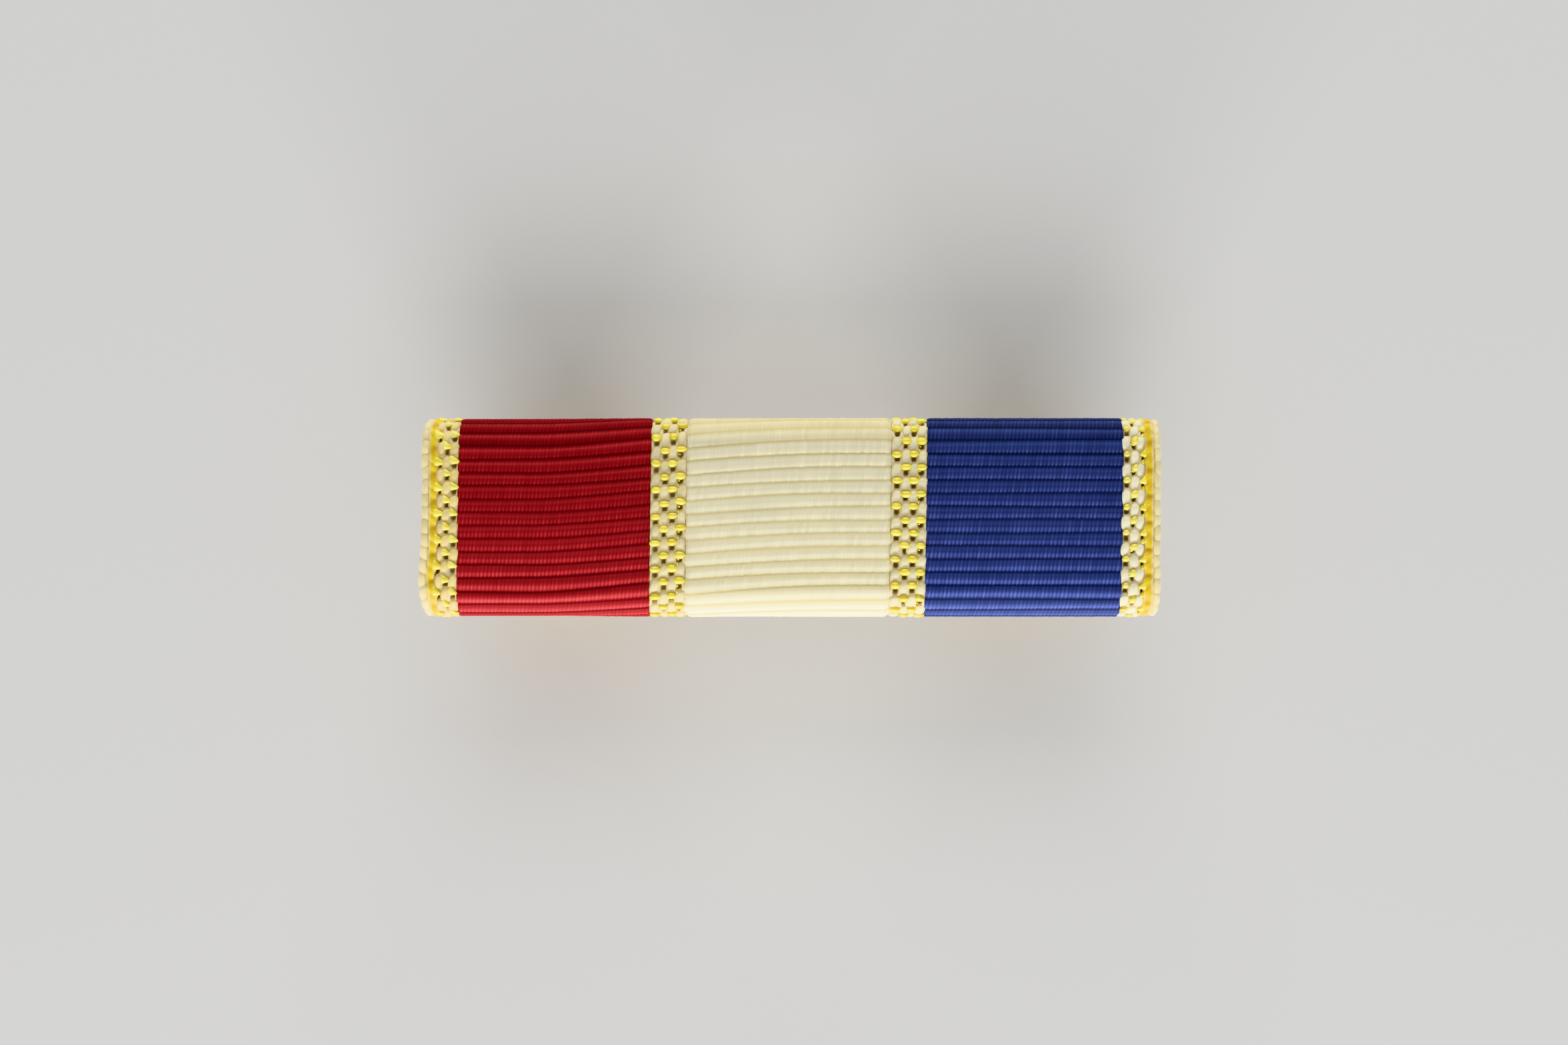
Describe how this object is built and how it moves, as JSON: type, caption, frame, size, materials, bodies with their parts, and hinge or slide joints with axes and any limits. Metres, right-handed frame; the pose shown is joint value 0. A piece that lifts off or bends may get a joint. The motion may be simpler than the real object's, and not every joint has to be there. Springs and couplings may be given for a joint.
{
  "type": "ribbon bar",
  "caption": "Striped grosgrain ribbon wound round a thin metal plate, with a back plate on clutch-held posts.",
  "frame": {"origin": "under the middle of the bar, on the plane that the two clutches rest on", "axes": "+Z out of the ribbon's face, +X along the bar from the red stripe to the blue one, +Y across the bar"},
  "size_m": [0.035, 0.0094, 0.0097],
  "materials": {
    "red_silk": "deep red ribbed silk-like weave with a soft sheen",
    "white_silk": "ivory ribbed silk-like weave with a soft sheen",
    "blue_silk": "royal blue ribbed silk-like weave with a soft sheen",
    "gold_weave": "open cream and gold weave, glossy metallic gold thread over matt cream and tan yarn",
    "gold_edge": "cream looped selvedge, yellow silk column and glossy gold thread",
    "core_metal": "dull rolled sheet, sheared ends",
    "back_metal": "brushed along the bar, soldered posts",
    "clutch_metal": "polished, lightly scuffed"
  },
  "bodies": {
    "root": {"core_plate": "core_metal", "back_plate": "back_metal", "clutch_left": "clutch_metal", "clutch_right": "clutch_metal", "edge_band_left": "gold_edge", "red_stripe": "red_silk", "gold_band_left": "gold_weave", "white_stripe": "white_silk", "gold_band_right": "gold_weave", "blue_stripe": "blue_silk", "edge_band_right": "gold_edge"}
  },
  "joints": []
}
